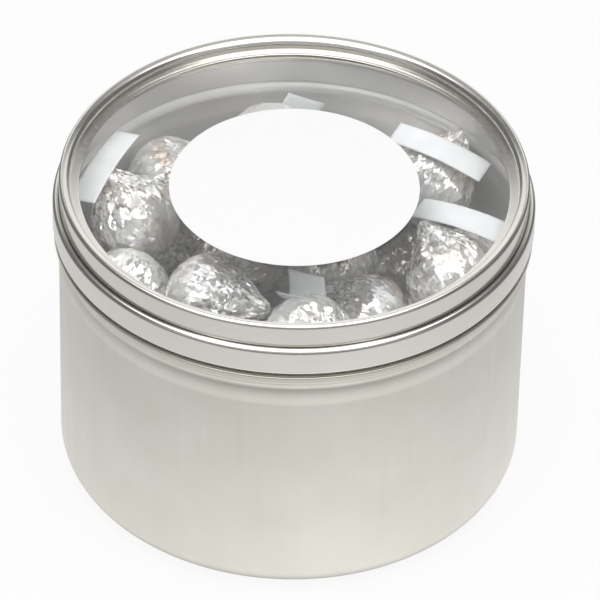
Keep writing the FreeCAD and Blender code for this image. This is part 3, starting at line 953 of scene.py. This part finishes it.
@dataclass
class PaperTags:
    """Paper tags of the drops: thin bowed strips."""

    gauge: float = 0.12
    rows: int = 33
    columns: int = 11
    flutter: float = 0.05
    waves: tuple[float, float] = (0.55, 0.6)
    margin: float = 0.985
    digits: int = 4
    seed: int = 8

    def axes(self, node: str) -> tuple[Array, Array]:
        """Finds how a packed tag lies from the spread of its corners.

        Args:
            node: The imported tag.

        Returns:
            Its middle, and its axes as rows: the one of the widest spread, the next, and out of the strip.
        """
        points = np.unique(node_points(node).round(self.digits), axis=0)
        middle = (points.min(0) + points.max(0)) / 2.0
        spread = np.linalg.eigh(np.cov((points - points.mean(0)).T))[1].T[::-1]
        spread[2] = np.cross(spread[0], spread[1])
        ends = (points - middle) @ spread.T
        middle = middle + ((ends.min(0) + ends.max(0)) / 2.0) @ spread
        return middle, spread

    def build(self, paper: bpy.types.Material) -> None:
        """Lays a strip in the place of each packed tag.

        A strip's height over its plane is a parabola along its first axis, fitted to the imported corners, plus
        a slight flutter.

        Args:
            paper: The finish.
        """
        rng = np.random.default_rng(self.seed)
        for node in sorted(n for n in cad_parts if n.startswith("paper_tag_")):
            middle, axes = self.axes(node)
            local = (node_points(node) - middle) @ axes.T
            reach = np.abs(local).max(0)
            bow = np.polyfit(local[:, 0], local[:, 2], 2)
            along, across = np.meshgrid(
                np.linspace(-1.0, 1.0, self.rows) * reach[0] * self.margin,
                np.linspace(-1.0, 1.0, self.columns) * reach[1] * self.margin, indexing="ij")
            start = rng.uniform(0.0, 2.0 * math.pi, 2)
            wave = np.sin(along * self.waves[0] + start[0]) * np.cos(across * self.waves[1] + start[1])
            grid = np.stack([along, across, np.polyval(bow, along) + self.flutter * wave], -1) @ axes + middle
            number = np.arange(self.rows * self.columns).reshape(self.rows, self.columns)
            quads = np.stack([number[:-1, :-1], number[1:, :-1], number[1:, 1:], number[:-1, 1:]], -1)
            strip = Surface(grid.reshape(-1, 3), quads.reshape(-1, 4), np.zeros((0, 3), int))
            piece = strip.add(node.replace("paper_tag", "tag_strip"), paper)
            sheet = piece.modifiers.new("gauge", "SOLIDIFY")
            sheet.thickness, sheet.offset = self.gauge * MM, 0.0
            dress(piece, Body.TIN, node)


# Picture


@dataclass
class Studio:
    """White floor, soft lamp, dark room with a white backdrop, and the camera."""

    aim: tuple[float, float, float] = (0.0, 0.0, 37.1)
    elevation: float = 39.87
    distance: float = 1221.8
    lens: float = 331.6
    sensor: float = 36.0
    roll: float = 1.36
    right_of_aim: float = 1.86
    above_aim: float = 2.17
    lamp_elevation: float = 78.0
    lamp_distance: float = 620.0
    lamp_size: float = 800.0
    lamp_power: float = 3.0
    floor_size: float = 40000.0
    floor_drop: float = 0.05
    floor_tone: float = 0.92
    floor_glow: float = 0.90
    room: Stops = (
        (0.50, (0.13, 0.13, 0.13)),
        (0.84, (0.12, 0.12, 0.12)),
        (0.90, (0.45, 0.45, 0.45)),
        (0.97, (0.85, 0.85, 0.85)),
    )
    backdrop: float = 0.95
    backdrop_top: tuple[float, float] = (0.595, 0.645)
    backdrop_side: tuple[float, float] = (-0.30, 0.45)
    backdrop_width: tuple[float, float] = (0.35, 0.60)
    fill: float = 0.50
    fill_foot: tuple[float, float] = (0.0, 0.25)
    fill_side: tuple[float, float] = (-0.30, -0.60)
    # Painted light seen in reflections: a painted shadow under the tin, then a pool of light that dims away
    # from it.
    painted_light_pool: Stops = (
        (0.090, (0.25, 0.25, 0.25)),
        (0.100, (1.0, 1.0, 1.0)),
        (0.25, (0.80, 0.80, 0.795)),
        (0.42, (0.40, 0.40, 0.395)),
        (0.62, (0.22, 0.22, 0.22)),
    )
    pool_reach: float = 520.0
    pool_spot: tuple[float, float] = (15.0, -60.0)
    pool_fall: tuple[float, float] = (1.12, 0.80)
    pool_fall_reach: float = 120.0

    def camera(self) -> None:
        """Sets the camera: it looks along +Y, down by the elevation, turned a little about its own axis."""
        tilt = math.radians(self.elevation)
        back = Vector((0.0, -math.cos(tilt), math.sin(tilt)))
        flat, up = Vector((1.0, 0.0, 0.0)), Vector((0.0, math.sin(tilt), math.cos(tilt)))
        turn = math.radians(self.roll)
        right = flat * math.cos(turn) + up * math.sin(turn)
        over = up * math.cos(turn) - flat * math.sin(turn)
        data = bpy.data.cameras.new("camera")
        data.lens, data.sensor_width = self.lens, self.sensor
        eye = bpy.data.objects.new("camera", data)
        place = Vector(self.aim) + back * self.distance + right * self.right_of_aim + over * self.above_aim
        eye.matrix_world = Matrix.Translation(place * MM) @ Matrix((right, over, back)).transposed().to_4x4()
        bpy.context.scene.collection.objects.link(eye)
        bpy.context.scene.camera = eye

    def lamp(self) -> None:
        """Hangs one soft lamp over the front, square to the line from the tin."""
        tilt = math.radians(self.lamp_elevation)
        back = Vector((0.0, -math.cos(tilt), math.sin(tilt)))
        data = bpy.data.lights.new("soft_lamp", "AREA")
        data.shape, data.size, data.energy = "SQUARE", self.lamp_size * MM, self.lamp_power
        lamp = bpy.data.objects.new("soft_lamp", data)
        up = Vector((0.0, math.sin(tilt), math.cos(tilt)))
        turn = Matrix((Vector((1.0, 0.0, 0.0)), up, back)).transposed().to_4x4()
        lamp.matrix_world = Matrix.Translation((Vector(self.aim) + back * self.lamp_distance) * MM) @ turn
        lamp.visible_camera = False
        bpy.context.scene.collection.objects.link(lamp)

    def floor(self) -> None:
        """Lays the white floor; reflections see a painted pool of light on it, bright before the tin and greyer
        away from it, and a painted shadow under the tin.
        """
        material, bench = new_material("white_floor")
        coords = bench.add("ShaderNodeTexCoord", {}).outputs["Object"]
        away = bench.add("ShaderNodeVectorMath", {0: coords}, operation="LENGTH").outputs["Value"]
        share = bench.span(away, 0.0, self.pool_reach * MM, 0.0, 1.0)
        middle = (self.pool_spot[0] * MM, self.pool_spot[1] * MM, 0.0)
        spot = bench.add("ShaderNodeVectorMath", {0: coords, 1: middle}, operation="DISTANCE")
        fall = bench.span(spot.outputs["Value"], 0.0, self.pool_fall_reach * MM, *self.pool_fall)
        # Glossy rays see the painted pool of light and shadow as a glow, brighter towards the pool's spot.
        mirrored = bench.add("ShaderNodeEmission", {"Color": bench.tint(share, self.painted_light_pool), "Strength": fall})
        matt = bench.add("ShaderNodeBsdfDiffuse", {"Color": grey(self.floor_tone)}).outputs["BSDF"]
        white = bench.add("ShaderNodeEmission", {"Color": grey(1.0), "Strength": 1.0})
        path = bench.add("ShaderNodeLightPath", {}).outputs
        straight = bench.reckon("MAXIMUM", path["Is Camera Ray"], path["Is Transmission Ray"])
        direct = bench.blend(straight, matt, bench.blend(self.floor_glow, matt, white.outputs["Emission"]))
        mirror = bench.reckon("GREATER_THAN", path["Is Glossy Ray"], path["Is Transmission Ray"])
        bench.show(bench.blend(mirror, direct, mirrored.outputs["Emission"]))
        half = self.floor_size / 2.0
        square = np.array([(-half, -half), (half, -half), (half, half), (-half, half)])
        points = np.hstack([square, np.full((4, 1), -self.floor_drop)])
        floor = Surface(points, np.arange(4)[None], np.zeros((0, 3), int)).add("floor", material)

    def world(self) -> None:
        """Sets the room: white to the camera; other rays see dark walls, a backdrop and a grey panel."""
        world = bpy.data.worlds.new("room")
        world.use_nodes = True
        bpy.context.scene.world = world
        bench = NodeBench(world.node_tree)
        coords = bench.add("ShaderNodeTexCoord", {}).outputs["Generated"]
        way = bench.add("ShaderNodeSeparateXYZ", {"Vector": coords}).outputs
        walls = bench.tint(bench.span(way["Z"], -1.0, 1.0, 0.0, 1.0), self.room)
        low = bench.span(way["Z"], *self.backdrop_top, 1.0, 0.0)
        behind = bench.span(way["Y"], *self.backdrop_side, 0.0, 1.0)
        between = bench.span(bench.reckon("ABSOLUTE", way["X"]), *self.backdrop_width, 1.0, 0.0)
        there = bench.times(bench.times(low, behind), between)
        room = bench.mix(there, walls, grey(self.backdrop))
        above = bench.span(way["Z"], *self.fill_foot, 0.0, 1.0)
        before = bench.span(way["Y"], *self.fill_side, 0.0, 1.0)
        lit = bench.mix(bench.times(above, before), room, grey(self.fill), "LIGHTEN")
        path = bench.add("ShaderNodeLightPath", {}).outputs
        straight = bench.reckon("MAXIMUM", path["Is Camera Ray"], path["Is Transmission Ray"])
        colour = bench.mix(straight, lit, grey(1.0))
        back = bench.add("ShaderNodeBackground", {"Color": colour, "Strength": 1.0})
        bench.show(back.outputs["Background"], "ShaderNodeOutputWorld")

    def build(self) -> None:
        """Sets up the picture."""
        bpy.context.scene.view_settings.view_transform = "Standard"
        self.camera()
        self.lamp()
        self.floor()
        self.world()
        log.info("studio set up")


def main() -> None:
    """Builds the pieces in order."""
    logging.basicConfig(level=logging.INFO, format="%(name)s: %(message)s")
    wall = Tinplate("tin_tinplate", smooth=0.28, rough=0.36,
                    pale=(0.780, 0.757, 0.700), dull=(0.742, 0.717, 0.658), metal=0.90)
    # Painted light: the inside is a paler, less metallic copy of the same tinplate, lit up to stand in for
    # light inside the tin.
    inside = Tinplate("inside_tinplate_painted_light", smooth=0.30, rough=0.40,
                      pale=(0.905, 0.895, 0.880), dull=(0.875, 0.865, 0.850), metal=0.50)
    bright = Tinplate("lid_tinplate", smooth=0.13, rough=0.19,
                      pale=(0.880, 0.861, 0.816), dull=(0.843, 0.822, 0.776), metal=0.95)
    label = Paper("label_paper", pale=(0.955, 0.955, 0.955), shade=(0.945, 0.945, 0.945),
                  smooth=0.45, fibre_depth=0.0004)
    tag = Paper("tag_paper", pale=(0.855, 0.865, 0.875), shade=(0.795, 0.805, 0.815),
                smooth=0.60, fibre_depth=0.0020)
    Studio().build()
    TinBody().build(wall.make(), inside.make())
    WindowLid().build(bright.make(), ClearSheet().make(), label.make())
    WrappedDrops().build(Foil().make())
    PaperTags().build(tag.make())


if __name__ == "__main__":
    main()
